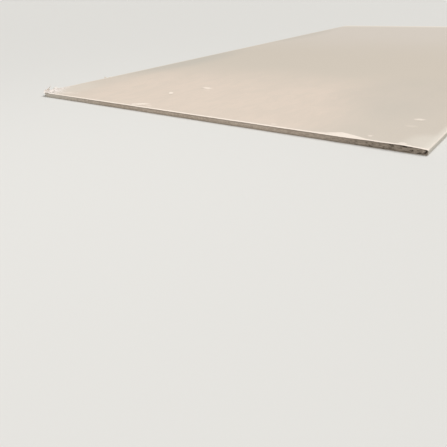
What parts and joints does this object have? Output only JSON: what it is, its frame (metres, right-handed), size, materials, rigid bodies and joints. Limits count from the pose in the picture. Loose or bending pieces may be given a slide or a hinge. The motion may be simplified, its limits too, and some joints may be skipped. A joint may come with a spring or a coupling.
{
  "type": "drywall sheet",
  "caption": "Flat tapered-edge gypsum board, paper on both sides and wrapped round the long edges, bare core at the cut ends, one corner broken.",
  "frame": {"origin": "middle of the back, on the plane that the board lies on", "axes": "+X across the width, +Y along the length away from the damaged cut end, +Z out of the face"},
  "size_m": [1.22, 2.44, 0.0244],
  "materials": {
    "gypsum": "porous, bare and rough",
    "face_paper": "matt ivory",
    "back_paper": "matt grey-brown"
  },
  "bodies": {
    "root": {"gypsum_core": "gypsum", "face_paper": "face_paper", "back_paper": "back_paper"}
  },
  "joints": []
}
